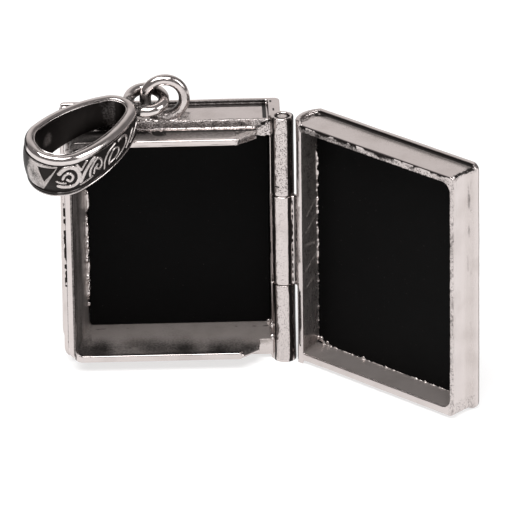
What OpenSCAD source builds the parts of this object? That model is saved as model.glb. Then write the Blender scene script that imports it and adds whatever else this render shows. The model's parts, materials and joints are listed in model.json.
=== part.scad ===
// Book locket pendant, standing open on the lower edges of its covers.
// Everything is laid out from the hinge axis: the case lies towards -X and its depth runs
// towards +Y, and the lid is the mirrored half, turned about the axis by its opening.
// The last step moves the whole so that the origin is the middle of the back cover's lower edge.

/* [Covers] */
// Height of the covers
cover_height = 35; // [32:0.5:40]
// Reach of the covers from the hinge axis to the fore-edge
cover_reach = 29.65; // [27:0.05:34]
// Thickness of the cover plates
plate = 0.7; // [0.7:0.05:1]
// Radius of the covers' corners at the fore-edge
cover_corner = 1; // [0.6:0.1:2]
// Step from a cover's upper or lower edge down to the end walls
end_step = 0.5; // [0.4:0.1:0.8]
// Step from a cover's fore-edge in to the fore-edge walls
fore_step = 0.25; // [0.2:0.05:0.5]

/* [Case and lid] */
// Depth of the case from its rim to the outside of the back cover
case_depth = 6; // [5.6:0.1:8]
// Depth of the lid from its rim to the outside of the front cover
lid_depth = 5.1; // [5.1:0.1:5.5]
// Thickness of the end walls at the rim
end_wall = 1.05; // [0.9:0.05:1.2]
// Thickness of the fore-edge wall of the lid
fore_wall = 0.55; // [0.5:0.05:0.6]
// Depth of the hollow that runs down the fore-edge walls like cut pages
channel_depth = 0.3; // [0.1:0.05:0.4]
// How far the case's fore-edge wall leans inwards from the rim to the floor
fore_lean = 1.8; // [0:0.1:2]
// How far the case's end walls lean inwards from the rim to the floor
end_lean = 0.5; // [0:0.1:0.6]
// Angle that the lid stands open
opening = 136; // [125:1:150]

/* [Lip] */
// How far the case's inner lip stands out of its rim
lip_reach = 3.8; // [3:0.1:3.9]
// Thickness of the lip
lip_wall = 0.9; // [0.7:0.05:1.1]
// Clearance between the lip and the closed lid's walls
lip_gap = 0.1; // [0.08:0.01:0.15]
// Radius of the lip's outer corners
lip_corner = 1.8; // [1.2:0.1:2]

/* [Lining] */
// Thickness of the black panels on the two floors
lining = 0.37; // [0.3:0.01:0.38]

/* [Hinge] */
// Outer radius of the three knuckles
knuckle_radius = 1.5; // [1.4:0.05:1.6]
// Radius of the hole through the knuckles
bore_radius = 0.98; // [0.94:0.01:1.05]
// Radius of the hinge pin
pin_radius = 0.9; // [0.88:0.01:0.9]
// Length of the upper and the lower knuckle
end_knuckle = 11.05; // [10:0.05:12]

/* [Ring and bail] */
// Radius of the upright ring from its centre to the middle of its wire
ring_radius = 2.55; // [2.5:0.05:2.7]
// Radius of the upright ring's wire
ring_wire = 0.75; // [0.7:0.01:0.77]
// Radius of the bail's own ring to the middle of its wire
loop_radius = 2.32; // [2.24:0.01:2.34]
// Radius of the wire of the bail's own ring
loop_wire = 0.76; // [0.68:0.01:0.77]
// Radius of the bail's big end, to the middle of its wall
big_round = 3.82; // [3.6:0.01:4.1]
// Radius of the bail's small end, to the middle of its wall
small_round = 2.41; // [2.2:0.01:2.6]
// Distance between the centres of the two ends
ends_apart = 9.05; // [8.6:0.05:9.3]
// Radius of the bail's long sides
side_round = 18; // [14:0.2:60]
// Height of the band at its big end
bail_big = 6.6; // [5.6:0.1:6.8]
// Height of the band at its narrow end
bail_narrow = 4.2; // [3.6:0.1:4.5]
// Thickness of the band
bail_wall = 1.1; // [1:0.05:1.25]
// How far the band swells outwards between its two rims
bail_swell = 0.55; // [0.2:0.05:0.6]

/* [Hidden] */
$fn = 64;
cut = 1;            // how far a cutting solid runs past the face that it opens
seat = 0.03;        // glue line behind a lining panel
lining_edge = 0.1;  // gap between a lining panel and the walls round it
knuckle_gap = 0.1;  // gap between neighbouring knuckles
rim_gap = 0.05;     // gap between the closed halves

// Walls, measured inwards from the covers' outlines
wall_top = cover_height - end_step;
wall_reach = cover_reach - fore_step;
wall_corner = 0.6;

// Channel down a fore-edge wall: an arc as wide as the wall between the rim flange and the cover
flange = 0.55;
channel_edge = 0.3;  // flat strip left between the hollow and the cover
function channel_width(depth) = depth - plate - flange - channel_edge;
function channel_radius(width) = (pow(width / 2, 2) + pow(channel_depth, 2)) / (2 * channel_depth);

// Spine walls: from the hinge axis to the near and the far face, at the rim
case_spine_near = 0.2;
case_spine_far = 1.75;
lid_spine_near = 2.6;
lid_spine_far = 3.2;
spine_round = 0.8;

// Behind its rim the lid's spine is a sheet bowed outwards, and the wall inside it leans after it
spine_bow = lid_depth / 2 + 1.15;  // radius of the bow
spine_crest = 1.3;                 // from the hinge axis to the bow's crest
spine_axis = [-spine_crest - spine_bow, lid_depth / 2 + 0.05];
spine_sheet = 0.65;
spine_lean = 0.85;

// The lip fits inside the lid's walls with the gap all round
lip_low = end_step + end_wall + lip_gap;
lip_high = cover_height - lip_low;
lip_fore_gap = 0.3; // wider at the fore-edge, where the lid swings over it
lip_left = -(wall_reach - fore_wall - lip_fore_gap);
lip_inner_corner = 1.1;
lip_chamfer = 0.3;
ramp_foot = 3.3;    // where the lip's ends start to rise, from the hinge axis
ramp_head = 6.05;   // where they reach the lip's full height
ramp_start = 1.4;   // how far they already stand out at the foot

// Cavities
case_floor = case_depth - plate;
lid_floor = lid_depth - plate;
cavity_low = lip_low + lip_wall;
cavity_left = lip_left + lip_wall;
lid_low = end_step + end_wall;
lid_left = -(wall_reach - fore_wall);
lid_corner = 1.3;
lining_corner = 0.4;

// Hinge
middle_low = end_knuckle + knuckle_gap;
middle_high = cover_height - end_knuckle - knuckle_gap;
relief_radius = knuckle_radius + knuckle_gap;
web_front = 0.15;
web_back = 1.05;
pin_inset = 0.1;

// Upright ring, sunk into the case's top wall with a low foot of solder
ring_sink = 0.3;
ring_place = [-15.25, 0.8, wall_top - ring_sink + ring_radius + ring_wire];
foot_radius = 1.1;
foot_place = foot_radius + 0.1;  // its centre's depth, clear of the closed lid's rim
foot_low = wall_top - 0.4;
foot_high = wall_top + 0.1;

// Bail: centre and turns of its ring, whose long axis runs towards local +X
loop_place = [-17.69, 0.14, 37.53];
bail_turns = [-12.85, 12.7, 220.8];
band_offset = 6.09;
neck_radius = 1.05;
neck_place = 2.95;
band_steps = 90;

// Section of the band: share of its half height, and step out from the middle of the wall
rim_round = 0.22;   // bevel of the rims' edges
field_sink = 0.22;  // depth of the ornament's ground below the rims
rim_edge = 0.94;    // shares of the half height: outer edge of a rim's side,
rim_land = 0.72;    // its inner edge,
field_edge = 0.66;  // and the edge of the ground
function swell(s) = bail_wall / 2 + bail_swell * (1 - s * s);
band_section = concat(
    [[-rim_edge, -bail_wall / 2], [rim_edge, -bail_wall / 2]],
    [[1, -bail_wall / 2 + rim_round], [1, bail_wall / 2 - rim_round]],
    [for (s = [rim_edge, rim_land]) [s, swell(s)]],
    [for (k = [1, 0.5, 0, -0.5, -1]) [k * field_edge, swell(k * field_edge) - field_sink]],
    [for (s = [-rim_land, -rim_edge]) [s, swell(s)]],
    [[-1, bail_wall / 2 - rim_round], [-1, -bail_wall / 2 + rim_round]]
);

// Outline of the band in its own plane, along the middle of its wall: a small end round the origin,
// a big end and two long sides, all arcs and each tangent to the next. The angle is that of the
// outward normal, from the big end's tip.
big_to_side = side_round - big_round;
side_start = acos((pow(ends_apart, 2) + pow(big_to_side, 2) - pow(side_round - small_round, 2))
                  / (2 * ends_apart * big_to_side));
side_centre = [ends_apart, 0] - big_to_side * direction(side_start);
side_end = atan2(-side_centre[1], -side_centre[0]);
band_far = ends_apart + big_round;
function direction(a) = [cos(a), sin(a)];
function half_egg(a) =
    a < side_start ? [ends_apart, 0] + big_round * direction(a) :
    a < side_end ? side_centre + side_round * direction(a) : small_round * direction(a);
function egg(a) = a <= 180 ? half_egg(a) : [half_egg(360 - a)[0], -half_egg(360 - a)[1]];
function half_height(x) =
    (bail_narrow + (bail_big - bail_narrow) * (x + small_round) / (band_far + small_round)) / 2;
function band_point(a, row) =
    let (p = egg(a), q = p + direction(a) * row[1]) [q[0], q[1], row[0] * half_height(p[0])];

// An outline in the XZ plane pushed from one depth to another
module upright(front, back) {
    translate([0, back, 0]) rotate([90, 0, 0]) linear_extrude(back - front) children();
}

// A rectangle with both corners rounded on its left side
module page(left, right, low, high, radius) {
    translate([left + radius, low]) square([right - left - radius, high - low]);
    translate([left, low + radius]) square([2 * radius, high - low - 2 * radius]);
    for (z = [low + radius, high - radius]) translate([left + radius, z]) circle(radius);
}

// Cutter for the hollow on the fore-edge wall
module channel(depth) {
    width = channel_width(depth);
    radius = channel_radius(width);
    translate([-wall_reach - radius + channel_depth, flange + width / 2, -cut])
        cylinder(h = cover_height + 2 * cut, r = radius, $fn = 200);
}

// Cover and walls of one half of the book, from its rim to the outside of its cover
module half_block(rim, depth, right) {
    upright(depth - plate, depth) page(-cover_reach, right, 0, cover_height, cover_corner);
    difference() {
        upright(rim, depth - plate) page(-wall_reach, right, end_step, wall_top, wall_corner);
        channel(depth);
    }
}

// Space inside one half: the walls round it lean from the rim to the floor
module hollow(rim, floor, left, right, low, corner, fore, spine, ends) {
    high = cover_height - low;
    intersection() {
        upright(rim - cut, floor) page(left, right + spine, low, high, corner);
        linear_extrude(cover_height) polygon([
            [left, rim - cut], [left, rim], [left + fore, floor],
            [right + spine, floor], [right, rim], [right, rim - cut]
        ]);
        translate([-cover_reach, 0, 0]) rotate([90, 0, 90]) linear_extrude(cover_reach) polygon([
            [rim - cut, low], [rim, low], [floor, low + ends],
            [floor, high - ends], [rim, high], [rim - cut, high]
        ]);
    }
}

// The case's spine wall, with its outer edge at the cover rounded
module case_spine() {
    linear_extrude(cover_height) difference() {
        translate([-case_spine_far, 0]) square([case_spine_far - case_spine_near, case_depth]);
        translate([-case_spine_near - spine_round, case_depth - spine_round]) difference() {
            square(spine_round + cut);
            circle(spine_round);
        }
    }
}

// The lid seen from above: straight behind the bow's axis, bowed beyond it, with a square rim
module lid_footprint() {
    translate([-cover_reach, rim_gap]) square([cover_reach + spine_axis[0], lid_depth - rim_gap]);
    translate([spine_axis[0], rim_gap]) square([-lid_spine_near - spine_axis[0], flange]);
    intersection() {
        translate(spine_axis) circle(spine_bow);
        translate([spine_axis[0], rim_gap]) square([spine_bow, lid_depth - rim_gap]);
    }
}

// Its spine sheet and rim, which stand up to the covers' height
module lid_sheet() {
    difference() {
        translate([spine_axis[0], 0]) square([spine_bow, lid_depth]);
        translate(spine_axis) circle(spine_bow - spine_sheet);
        translate([spine_axis[0], 0]) square([-lid_spine_far - spine_axis[0], spine_axis[1]]);
    }
}

// Ring of the lip between its outer outline and the cavity, lower towards the spine
module lip() {
    intersection() {
        upright(-lip_reach, cut) page(lip_left, -ramp_foot, lip_low, lip_high, lip_corner);
        linear_extrude(cover_height) polygon([
            [lip_left, cut], [lip_left, lip_chamfer - lip_reach], [lip_left + lip_chamfer, -lip_reach],
            [-ramp_head, -lip_reach], [-ramp_foot, -ramp_start], [-ramp_foot, cut]
        ]);
    }
}

module knuckle(low, high) {
    translate([0, 0, low]) cylinder(h = high - low, r = knuckle_radius);
}

module bore() {
    translate([0, 0, -cut]) cylinder(h = cover_height + 2 * cut, r = bore_radius);
}

module upright_ring() {
    translate(ring_place) rotate([90, 0, 0]) rotate_extrude() translate([ring_radius, 0]) circle(ring_wire);
    translate([ring_place[0], foot_place, foot_low]) cylinder(h = foot_high - foot_low, r = foot_radius);
}

module case_body() {
    difference() {
        union() {
            half_block(0, case_depth, -case_spine_near - spine_round);
            case_spine();
            lip();
            knuckle(0, end_knuckle);
            knuckle(cover_height - end_knuckle, cover_height);
        }
        hollow(-lip_reach, case_floor, cavity_left, -case_spine_far, cavity_low, lip_inner_corner,
               fore_lean, 0, end_lean);
        bore();
        translate([0, 0, end_knuckle]) cylinder(h = cover_height - 2 * end_knuckle, r = relief_radius);
    }
    upright_ring();
}

module lid_half() {
    difference() {
        union() {
            intersection() {
                linear_extrude(cover_height) lid_footprint();
                union() {
                    half_block(rim_gap, lid_depth, 0);
                    linear_extrude(cover_height) lid_sheet();
                }
            }
            knuckle(middle_low, middle_high);
            translate([-lid_spine_far, web_front, middle_low])
                cube([lid_spine_far - bore_radius, web_back - web_front, middle_high - middle_low]);
        }
        hollow(rim_gap, lid_floor, lid_left, -lid_spine_far, lid_low, lid_corner, 0, spine_lean, 0);
        bore();
    }
}

// A lining panel on a floor, clear of the walls round it
module panel(floor, left, right, low, corner) {
    upright(floor - seat - lining, floor - seat)
        page(left + lining_edge, right - lining_edge, low + lining_edge,
             cover_height - low - lining_edge, corner);
}

// The lid's half of the book, turned from the mirrored place by its opening
module turned_lid() {
    rotate([0, 0, opening - 180]) mirror([1, 0, 0]) children();
}

module band() {
    columns = len(band_section);
    points = [for (i = [0:band_steps - 1], row = band_section) band_point(i * 360 / band_steps, row)];
    faces = [for (i = [0:band_steps - 1], j = [0:columns - 1])
        let (next = (i + 1) % band_steps, up = (j + 1) % columns)
        [i * columns + j, next * columns + j, next * columns + up, i * columns + up]];
    polyhedron(points, faces, convexity = 4);
}

module bail_shape() {
    translate([band_offset, 0, 0]) band();
    rotate_extrude($fn = 40) translate([loop_radius, 0]) circle(loop_wire, $fn = 16);
    translate([neck_place, 0, 0]) sphere(neck_radius, $fn = 20);
}

// From the hinge axis to the part's own origin
module set_down() {
    translate([(cover_reach + case_spine_near) / 2, plate / 2 - case_depth, 0]) children();
}

module case() color("silver") set_down() case_body();

module lid() color("lightgray") set_down() turned_lid() lid_half();

module hinge_pin() color("gainsboro") set_down()
    translate([0, 0, pin_inset]) cylinder(h = cover_height - 2 * pin_inset, r = pin_radius);

module case_lining() color("black") set_down()
    panel(case_floor, cavity_left + fore_lean, -case_spine_far, cavity_low + end_lean, lining_corner);

module lid_lining() color("black") set_down() turned_lid()
    panel(lid_floor, lid_left, -lid_spine_far + spine_lean * (1 - (seat + lining) / lid_floor),
          lid_low, lid_corner);

module bail() color("darkgray") set_down() translate(loop_place) rotate(bail_turns) bail_shape();

case();
lid();
hinge_pin();
case_lining();
lid_lining();
bail();
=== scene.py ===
"""Book locket pendant of blackened and polished silver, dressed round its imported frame.

Lengths in the modelling parts are millimetres. The case and the lid are each worked on in the
frame of their own half: x along the reach from the hinge axis, y the depth towards the cover,
z up. The bail is worked on in the frame of its ring. What is finished is put back in metres.
"""

import json
import math

import bmesh
import bpy
import numpy as np
from mathutils import Matrix, Vector, kdtree

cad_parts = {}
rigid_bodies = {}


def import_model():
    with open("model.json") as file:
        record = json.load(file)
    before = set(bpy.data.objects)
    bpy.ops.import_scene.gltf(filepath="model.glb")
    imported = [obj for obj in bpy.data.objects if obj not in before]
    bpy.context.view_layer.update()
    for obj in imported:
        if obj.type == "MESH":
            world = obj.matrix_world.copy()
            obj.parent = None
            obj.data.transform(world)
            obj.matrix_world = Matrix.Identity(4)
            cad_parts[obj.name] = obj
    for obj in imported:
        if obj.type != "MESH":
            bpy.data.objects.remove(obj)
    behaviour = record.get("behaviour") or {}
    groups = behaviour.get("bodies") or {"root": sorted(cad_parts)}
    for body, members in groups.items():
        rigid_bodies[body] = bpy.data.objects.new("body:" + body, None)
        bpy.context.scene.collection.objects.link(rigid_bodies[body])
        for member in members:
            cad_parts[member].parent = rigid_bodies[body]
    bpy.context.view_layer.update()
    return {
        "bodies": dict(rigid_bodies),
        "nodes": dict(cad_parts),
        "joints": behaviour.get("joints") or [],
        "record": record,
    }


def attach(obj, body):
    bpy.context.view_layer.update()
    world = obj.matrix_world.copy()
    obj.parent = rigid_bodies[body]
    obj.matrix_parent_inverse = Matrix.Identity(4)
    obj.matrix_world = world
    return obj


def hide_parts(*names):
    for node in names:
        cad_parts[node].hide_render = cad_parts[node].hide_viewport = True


MM = 0.001
SEED = 11

# Places of the two halves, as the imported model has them
HINGE = Vector((14.925, -5.65, 0.0))
LID_TURN = math.radians(-44)
CASE_FRAME = Matrix.Translation(HINGE)
LID_FRAME = Matrix.Translation(HINGE) @ Matrix.Rotation(LID_TURN, 4, "Z") @ Matrix.Scale(-1, 4, (1, 0, 0))

COVER_HEIGHT = 35.0

# The bail is made in the frame of its own ring, which has this place and these turns about x, y and z
LOOP_PLACE = Vector((-17.69, 0.14, 37.53))
BAIL_TURNS = [math.radians(a) for a in (-12.85, 12.7, 220.8)]
LOOP_RADIUS = 2.32  # of the wire's middle line
LOOP_WIRE = 0.76  # half its thickness
BAND_OFFSET = 6.09  # from the ring's centre to that of the band's small end
# Radii of the band's ends and sides at the middle of its wall, and the distance between its ends
BIG_ROUND = 3.82
SMALL_ROUND = 2.41
SIDE_ROUND = 18.0
ENDS_APART = 9.05
# Height of the band at its big and its small end, its wall and how far its outside swells
BAIL_BIG = 6.6
BAIL_NARROW = 4.2
BAIL_WALL = 1.1
BAIL_SWELL = 0.55


# Noise and small shaping functions


def lattice(cells, seed):
    """A value from 0 to 1 for each whole-number cell, the same at every run."""
    x, y, z = (cells[:, i].astype(np.int64) for i in range(3))
    h = x * 374761393 + y * 668265263 + z * 2147483647 + seed * 1274126177
    h = (h ^ (h >> 13)) * 1103515245
    h = (h ^ (h >> 16)) & 0xFFFFFF
    return h / float(0xFFFFFF)


def noise(points, size, seed=0):
    """Smooth value noise from -1 to 1, with features of about the size given."""
    q = points / size
    base = np.floor(q).astype(np.int64)
    f = q - base
    f = f * f * (3 - 2 * f)
    total = np.zeros(len(points))
    for corner in range(8):
        step = np.array([corner & 1, corner >> 1 & 1, corner >> 2 & 1])
        weight = np.prod(np.where(step, f, 1 - f), axis=1)
        total += weight * lattice(base + step, seed + SEED)
    return total * 2 - 1


def smooth(value, low, high):
    """0 below low, 1 above high and a soft step between."""
    t = np.clip((value - low) / (high - low), 0, 1)
    return t * t * (3 - 2 * t)


def zone(points, low, high, soft=0.25):
    """1 inside a box and 0 outside it, with a soft border."""
    inside = np.ones(len(points))
    for axis in range(3):
        inside *= smooth(points[:, axis], low[axis] - soft, low[axis] + soft)
        inside *= 1 - smooth(points[:, axis], high[axis] - soft, high[axis] + soft)
    return inside


# Meshes


def coordinates(mesh, kind="co"):
    """Places of a mesh's vertices, or their normals, as rows of three."""
    rows = np.empty((len(mesh.vertices), 3), np.float32)
    mesh.vertices.foreach_get(kind, rows.ravel())
    return rows.astype(float)


def normals(mesh):
    return coordinates(mesh, "normal")


def set_coordinates(mesh, co):
    mesh.vertices.foreach_set("co", co.astype(np.float32).ravel())
    mesh.update()


def set_masks(mesh, *layers):
    """Stores the three masks that the silver reads: blackened or painted-shade places, rough and dulled
    places.
    """
    for name, values in zip(("dark", "rough", "satin"), layers):
        layer = mesh.attributes.new(name, "FLOAT", "POINT")
        layer.data.foreach_set("value", np.clip(values, 0, 1).astype(np.float32))


def new_object(name, data):
    obj = bpy.data.objects.new(name, data)
    bpy.context.scene.collection.objects.link(obj)
    return obj


def object_from(bm, name):
    """What was modelled in a bmesh, as a new object."""
    mesh = bpy.data.meshes.new(name)
    bm.to_mesh(mesh)
    bm.free()
    return new_object(name, mesh)


def with_modifier(obj, kind, **values):
    """Applies one modifier to an object's mesh."""
    modifier = obj.modifiers.new(kind.title(), kind)
    for key, value in values.items():
        setattr(modifier, key, value)
    graph = bpy.context.evaluated_depsgraph_get()
    mesh = bpy.data.meshes.new_from_object(obj.evaluated_get(graph))
    obj.modifiers.clear()
    old = obj.data
    obj.data = mesh
    bpy.data.meshes.remove(old)
    return obj


def finish_piece(obj, frame, node_name, material, body):
    """Puts a piece made in a working frame in its place in the row, in metres, and dresses it."""
    mesh = obj.data
    mesh.polygons.foreach_set("use_smooth", np.ones(len(mesh.polygons), bool))
    mesh.transform(Matrix.Scale(MM, 4) @ frame)
    if frame.determinant() < 0:
        mesh.flip_normals()
    mesh.update()
    mesh.materials.clear()
    mesh.materials.append(material)
    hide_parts(node_name)
    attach(obj, body)


def node_copy(node, frame, name):
    """A CAD node's mesh as a new object in a working frame, in millimetres."""
    mesh = bpy.data.meshes.new_from_object(node)
    mesh.transform(frame.inverted() @ Matrix.Scale(1 / MM, 4))
    if frame.determinant() < 0:
        mesh.flip_normals()
    return new_object(name, mesh)


def add_lumps(obj, lumps):
    """Adds small closed ellipsoids, which the remesh then melts into the surface."""
    bm = bmesh.new()
    bm.from_mesh(obj.data)
    for centre, radii in lumps:
        place = Matrix.Translation(Vector(centre)) @ Matrix.Diagonal((*radii, 1))
        bmesh.ops.create_icosphere(bm, subdivisions=2, radius=1, matrix=place)
    bm.to_mesh(obj.data)
    bm.free()


def bead_line(rng, start, end, count, size, wander, stretch=(1, 1, 1)):
    """Solder beads of uneven size strewn along a line."""
    start, end = np.array(start), np.array(end)
    lumps = []
    for i in range(count):
        t = (i + rng.uniform(0.1, 0.9)) / count
        centre = start + (end - start) * t + rng.uniform(-1, 1, 3) * wander
        radius = size * rng.uniform(0.55, 1.25)
        lumps.append((centre, radius * rng.uniform(0.8, 1.35, 3) * stretch))
    return lumps


def melt(obj, voxel, smoothing):
    """Fuses everything in a mesh to one closed skin and softens its edges."""
    with_modifier(obj, "REMESH", mode="VOXEL", voxel_size=voxel, adaptivity=0.0)
    return with_modifier(obj, "SMOOTH", factor=0.5, iterations=smoothing)


def thin(obj, faces, fine):
    """Takes triangles out down to this many, the least where a vertex is marked fine."""
    have = sum(len(p.vertices) - 2 for p in obj.data.polygons)
    if have > faces:
        group = obj.vertex_groups.new(name="plain")
        group.add(np.flatnonzero(~fine).tolist(), 1.0, "REPLACE")
        group.add(np.flatnonzero(fine).tolist(), 0.2, "REPLACE")
        with_modifier(obj, "DECIMATE", ratio=faces / have, use_collapse_triangulate=True,
                      vertex_group=group.name, vertex_group_factor=0.03)
        obj.vertex_groups.clear()
    return obj


def edge_ends(mesh):
    edges = np.empty(len(mesh.edges) * 2, np.int32)
    mesh.edges.foreach_get("vertices", edges)
    return edges.reshape(-1, 2).T


def borders(mesh, values, most):
    """Marks the vertices where a mask changes most from one vertex to the next."""
    a, b = edge_ends(mesh)
    change = np.abs(values[a] - values[b])
    steep = np.zeros(len(values))
    np.maximum.at(steep, a, change)
    np.maximum.at(steep, b, change)
    limit = max(0.07, np.sort(steep)[-min(most, len(steep))])
    return steep > limit


def hollowness(mesh, rounds):
    """How far each vertex lies below its smoothed neighbourhood: above 0 in recesses, below on edges."""
    co = coordinates(mesh)
    a, b = edge_ends(mesh)
    count = np.bincount(a, minlength=len(co)) + np.bincount(b, minlength=len(co))
    soft = co.copy()
    for _ in range(rounds):
        total = np.zeros_like(soft)
        for axis in range(3):
            total[:, axis] = np.bincount(a, soft[b, axis], len(co)) + np.bincount(b, soft[a, axis], len(co))
        soft = 0.5 * soft + 0.5 * total / np.maximum(count, 1)[:, None]
    return np.einsum("ij,ij->i", soft - co, normals(mesh))


def carry_over(points, values, mesh):
    """Values known at one set of points, looked up for the vertices of another mesh."""
    tree = kdtree.KDTree(len(points))
    for i, p in enumerate(points):
        tree.insert(p, i)
    tree.balance()
    nearest = [tree.find(p)[1] for p in coordinates(mesh)]
    return values[nearest]


# Materials


class Graph:
    """A short way to write a material's nodes."""

    def __init__(self, name):
        self.material = bpy.data.materials.new(name)
        self.material.use_nodes = True
        self.nodes = self.material.node_tree.nodes
        self.links = self.material.node_tree.links
        self.nodes.clear()
        self.shader = self.nodes.new("ShaderNodeBsdfPrincipled")
        output = self.nodes.new("ShaderNodeOutputMaterial")
        self.links.new(self.shader.outputs[0], output.inputs[0])
        self.place = self.nodes.new("ShaderNodeTexCoord").outputs["Object"]

    def put(self, socket, value):
        """Links a value worked out by nodes, and sets one that is the same all over."""
        if isinstance(value, bpy.types.NodeSocket):
            self.links.new(value, socket)
        else:
            socket.default_value = value

    def set(self, name, value):
        self.put(self.shader.inputs[name], value)

    def mask(self, name):
        node = self.nodes.new("ShaderNodeAttribute")
        node.attribute_name = name
        return node.outputs["Fac"]

    def math(self, operation, a, b=0.0, clamp=False):
        node = self.nodes.new("ShaderNodeMath")
        node.operation = operation
        node.use_clamp = clamp
        self.put(node.inputs[0], a)
        self.put(node.inputs[1], b)
        return node.outputs[0]

    def noise(self, size_mm, detail=2.0, roughness=0.5, stretch=(1, 1, 1)):
        """Noise with features of about this size, in the object's own coordinates."""
        mapping = self.nodes.new("ShaderNodeMapping")
        mapping.inputs["Scale"].default_value = stretch
        self.links.new(self.place, mapping.inputs["Vector"])
        node = self.nodes.new("ShaderNodeTexNoise")
        node.inputs["Scale"].default_value = 1 / (size_mm * MM)
        node.inputs["Detail"].default_value = detail
        node.inputs["Roughness"].default_value = roughness
        self.links.new(mapping.outputs[0], node.inputs["Vector"])
        return node.outputs["Fac"]

    def step(self, value, low, high):
        """0 below low, 1 above high and a soft step between."""
        node = self.nodes.new("ShaderNodeMapRange")
        node.interpolation_type = "SMOOTHSTEP"
        self.put(node.inputs["Value"], value)
        node.inputs["From Min"].default_value = low
        node.inputs["From Max"].default_value = high
        return node.outputs[0]

    def range(self, value, low, high):
        """Spreads a value from 0..1 over another range."""
        return self.math("ADD", self.math("MULTIPLY", value, high - low), low)

    def mix(self, factor, a, b):
        node = self.nodes.new("ShaderNodeMix")
        node.data_type = "RGBA"
        self.put(node.inputs[0], factor)
        for socket, value in ((node.inputs[6], a), (node.inputs[7], b)):
            self.put(socket, value if isinstance(value, bpy.types.NodeSocket) else (*value, 1))
        return node.outputs[2]

    def bump(self, height, distance_mm, normal=None):
        node = self.nodes.new("ShaderNodeBump")
        node.inputs["Strength"].default_value = 1.0
        node.inputs["Distance"].default_value = distance_mm * MM
        self.links.new(height, node.inputs["Height"])
        if normal is not None:
            self.links.new(normal, node.inputs["Normal"])
        return node.outputs[0]


SILVER_TONE = (0.60, 0.545, 0.53)
BAIL_TONE = (0.64, 0.59, 0.575)
DULL_TONE = (0.33, 0.285, 0.262)
# Colour of real blackening, and also of painted shade and painted dark reflections where the dark mask
# carries them
BLACKENED_AND_SHADE_TONE = (0.020, 0.017, 0.016)


def silver(name, tone=SILVER_TONE):
    """Polished silver. The masks say where it is blackened or painted with shade (dark), pitted or
    cast-rough (rough) and dulled (satin)."""
    g = Graph(name)
    dark, rough, satin = g.mask("dark"), g.mask("rough"), g.mask("satin")
    cloud = g.noise(3.5, detail=4.0)
    grain = g.noise(0.28, detail=3.0, roughness=0.6)
    specks = g.noise(0.17, detail=1.0)
    streaks = g.noise(0.5, detail=3.0, stretch=(1, 1, 0.12))
    # Blackening and painted shade: where the dark mask says, broken up by the grain, with specks in the
    # rough places
    broken = g.range(rough, 0.22, 0.95)
    edge = g.math("MULTIPLY", g.math("SUBTRACT", grain, 0.5), broken)
    black = g.step(g.math("ADD", dark, edge), 0.34, 0.72)
    pit = g.math("MULTIPLY", g.step(specks, 0.55, 0.63), rough)
    black = g.math("MAXIMUM", black, pit)
    stain = g.math("MULTIPLY", g.step(cloud, 0.42, 0.75), 0.25)
    stain = g.math("ADD", stain, g.math("MULTIPLY", satin, 0.55), clamp=True)
    bright = g.mix(stain, tone, DULL_TONE)
    g.set("Base Color", g.mix(black, bright, BLACKENED_AND_SHADE_TONE))
    g.set("Metallic", g.range(satin, 1.0, 0.62))
    shine = g.range(g.step(streaks, 0.3, 0.75), 0.09, 0.19)
    shine = g.math("ADD", shine, g.math("MULTIPLY", rough, 0.12))
    shine = g.math("ADD", shine, g.math("MULTIPLY", satin, 0.26))
    g.set("Roughness", g.math("ADD", shine, g.math("MULTIPLY", black, 0.28), clamp=True))
    scratches = g.noise(0.09, detail=2.0, stretch=(0.15, 1, 1))
    normal = g.bump(g.math("MULTIPLY", grain, rough), 0.10)
    normal = g.bump(scratches, 0.004, normal=normal)
    normal = g.bump(g.noise(1.1, detail=2.0), 0.012, normal=normal)
    g.set("Normal", normal)
    return g.material


def black_board(name):
    """Matt black panel with a fine tooth and scattered grey dust."""
    g = Graph(name)
    tooth = g.noise(0.12, detail=4.0, roughness=0.7)
    cloud = g.noise(5.0, detail=3.0)
    dust = g.step(g.noise(0.25, detail=0.0), 0.82, 0.86)
    base = g.mix(cloud, (0.0010, 0.0010, 0.0010), (0.0022, 0.0020, 0.0020))
    g.set("Base Color", g.mix(g.math("MULTIPLY", dust, 0.4), base, (0.05, 0.045, 0.04)))
    g.set("Roughness", g.range(tooth, 0.55, 0.85))
    g.set("Specular IOR Level", 0.07)
    g.set("Normal", g.bump(tooth, 0.02))
    return g.material


def paper(name):
    """Plain pale floor, lit a little from within so that shadows stay faint."""
    g = Graph(name)
    g.set("Base Color", g.mix(g.noise(60.0), (0.42, 0.42, 0.42), (0.44, 0.44, 0.44)))
    g.set("Emission Color", (1.0, 1.0, 1.0, 1.0))
    g.set("Emission Strength", 0.62)
    g.set("Roughness", 0.9)
    g.set("Specular IOR Level", 0.1)
    return g.material


# Camera, floor and light

# The photograph's camera, fitted to the edges of the two halves
CAMERA_TURNS = (1.25, 24.66, -0.78)  # azimuth, elevation and roll in degrees
CAMERA_AIM = (12.435, -5.65, 13.54)
CAMERA_DISTANCE = 0.892  # metres
FOCAL_PIXELS = 6767.0  # focal length and picture width, in the photograph's pixels
WIDTH_PIXELS = 530
SENSOR_WIDTH = 36.0

# The room that the silver mirrors, in metres
WALL_WAY = (-0.12, 0.90, 0.42)  # where the middle of the pale wall lies
WALL_EDGE = (0.62, 0.97)  # its soft border, as cosines of the angle from that middle
WALL_TONE = (0.86, 0.83, 0.82, 1)
ROOM_TONE = (0.21, 0.20, 0.20, 1)
LIGHT_AIM = Vector((0.01, 0, 0.02))
FLOOR_HALF = 3.0


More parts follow.
